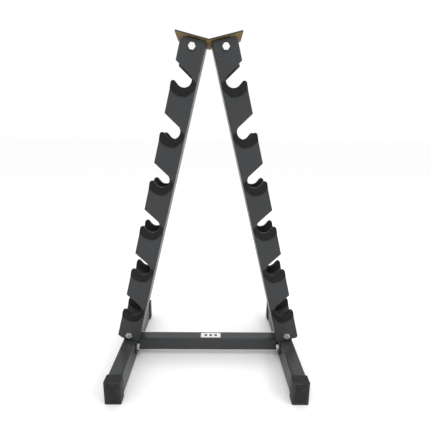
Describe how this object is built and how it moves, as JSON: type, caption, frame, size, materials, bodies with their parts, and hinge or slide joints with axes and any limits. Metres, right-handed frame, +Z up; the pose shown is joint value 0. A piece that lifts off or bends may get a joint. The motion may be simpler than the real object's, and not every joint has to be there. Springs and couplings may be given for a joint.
{
  "type": "dumbbell rack",
  "caption": "Free-standing A-frame dumbbell rack: leaning notched steel uprights with lined hook cradles, bolted to tube feet and a cross beam, tied by a V plate on top.",
  "frame": {"origin": "on the floor, under the middle of the rack", "axes": "+Z up, +Y from the front to the back, +X to the right seen from the front"},
  "size_m": [0.528, 0.424, 0.8982],
  "materials": {
    "powder_coated_steel": "fine-textured dark grey powder coat",
    "liner_plastic": "moulded black plastic, low sheen",
    "cap_plastic": "moulded dark grey plastic with a rough face",
    "zinc_plated_steel": "bright zinc plating",
    "label_film": "white film label, blank"
  },
  "bodies": {
    "root": {"base_bolts": "zinc_plated_steel", "base_nuts": "zinc_plated_steel", "base_washers": "zinc_plated_steel", "beam_bolts": "zinc_plated_steel", "beam_label": "label_film", "cross_beam": "powder_coated_steel", "foot_inserts": "zinc_plated_steel", "left_base_bracket": "powder_coated_steel", "left_beam_plate": "powder_coated_steel", "left_foot": "powder_coated_steel", "left_front_foot_cap": "cap_plastic", "left_front_liner_1": "liner_plastic", "left_front_liner_2": "liner_plastic", "left_front_liner_3": "liner_plastic", "left_front_liner_4": "liner_plastic", "left_front_liner_5": "liner_plastic", "left_front_liner_6": "liner_plastic", "left_rear_foot_cap": "cap_plastic", "left_rear_liner_1": "liner_plastic", "left_rear_liner_2": "liner_plastic", "left_rear_liner_3": "liner_plastic", "left_rear_liner_4": "liner_plastic", "left_rear_liner_5": "liner_plastic", "left_rear_liner_6": "liner_plastic", "left_top_bracket": "powder_coated_steel", "left_upright": "powder_coated_steel", "right_base_bracket": "powder_coated_steel", "right_beam_plate": "powder_coated_steel", "right_foot": "powder_coated_steel", "right_front_foot_cap": "cap_plastic", "right_front_liner_1": "liner_plastic", "right_front_liner_2": "liner_plastic", "right_front_liner_3": "liner_plastic", "right_front_liner_4": "liner_plastic", "right_front_liner_5": "liner_plastic", "right_front_liner_6": "liner_plastic", "right_rear_foot_cap": "cap_plastic", "right_rear_liner_1": "liner_plastic", "right_rear_liner_2": "liner_plastic", "right_rear_liner_3": "liner_plastic", "right_rear_liner_4": "liner_plastic", "right_rear_liner_5": "liner_plastic", "right_rear_liner_6": "liner_plastic", "right_top_bracket": "powder_coated_steel", "right_upright": "powder_coated_steel", "top_bolts": "zinc_plated_steel", "top_nuts": "zinc_plated_steel", "top_plate": "powder_coated_steel", "top_washers": "zinc_plated_steel"}
  },
  "joints": []
}
